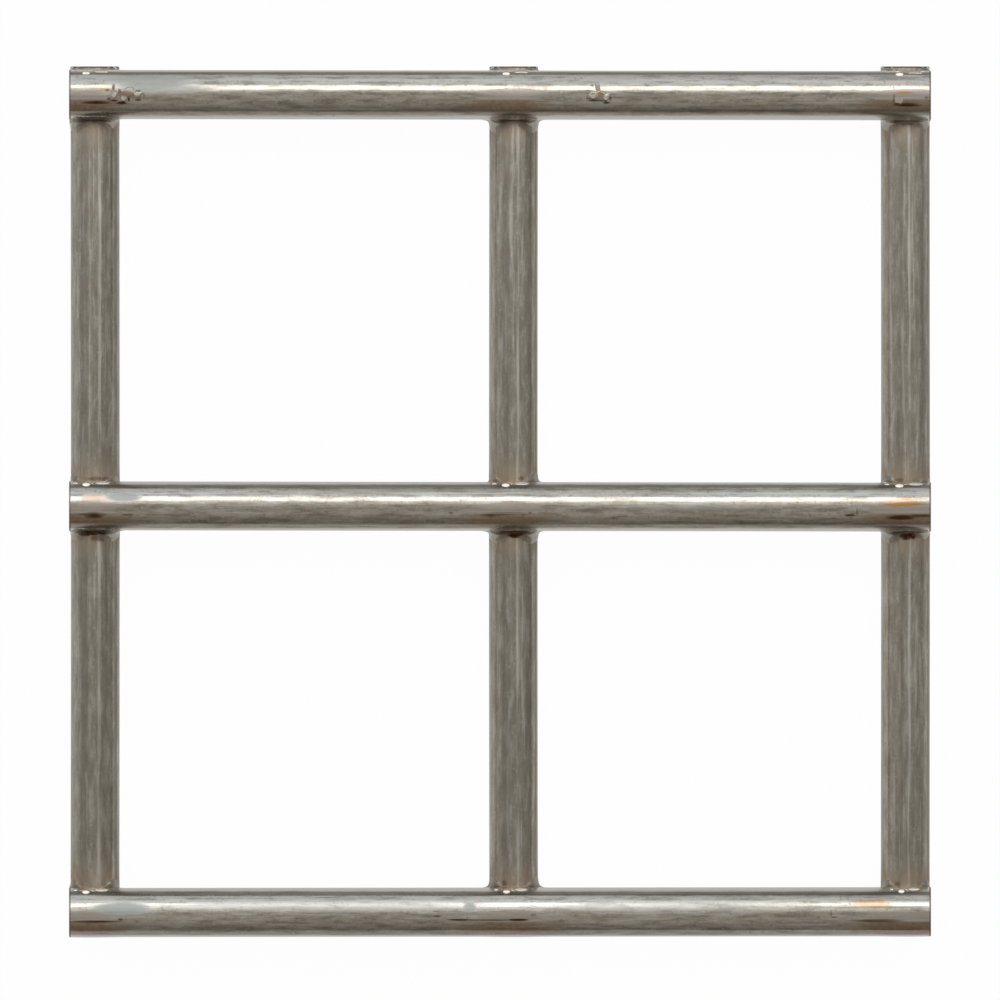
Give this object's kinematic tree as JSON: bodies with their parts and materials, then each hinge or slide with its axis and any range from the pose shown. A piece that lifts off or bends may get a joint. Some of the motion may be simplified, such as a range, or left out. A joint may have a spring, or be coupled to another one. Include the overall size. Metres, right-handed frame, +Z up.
{
  "type": "welded wire mesh panel",
  "caption": "Flat square of welded mesh: round steel wires in two crossed layers, fused where they cross, with square openings between them.",
  "frame": {"origin": "middle of the cut panel, at the height of the floor it lies on", "axes": "+X along the cross wires, +Y along the line wires, +Z up through the panel, from the line wires to the cross wires"},
  "size_m": [0.1062, 0.1072, 0.01],
  "materials": {
    "drawn_steel_wire": "bare drawn steel, satin with lengthwise die lines, brown heat tint and light rust at the welds"
  },
  "bodies": {
    "root": {"welded_mesh_panel": "drawn_steel_wire"}
  },
  "joints": []
}
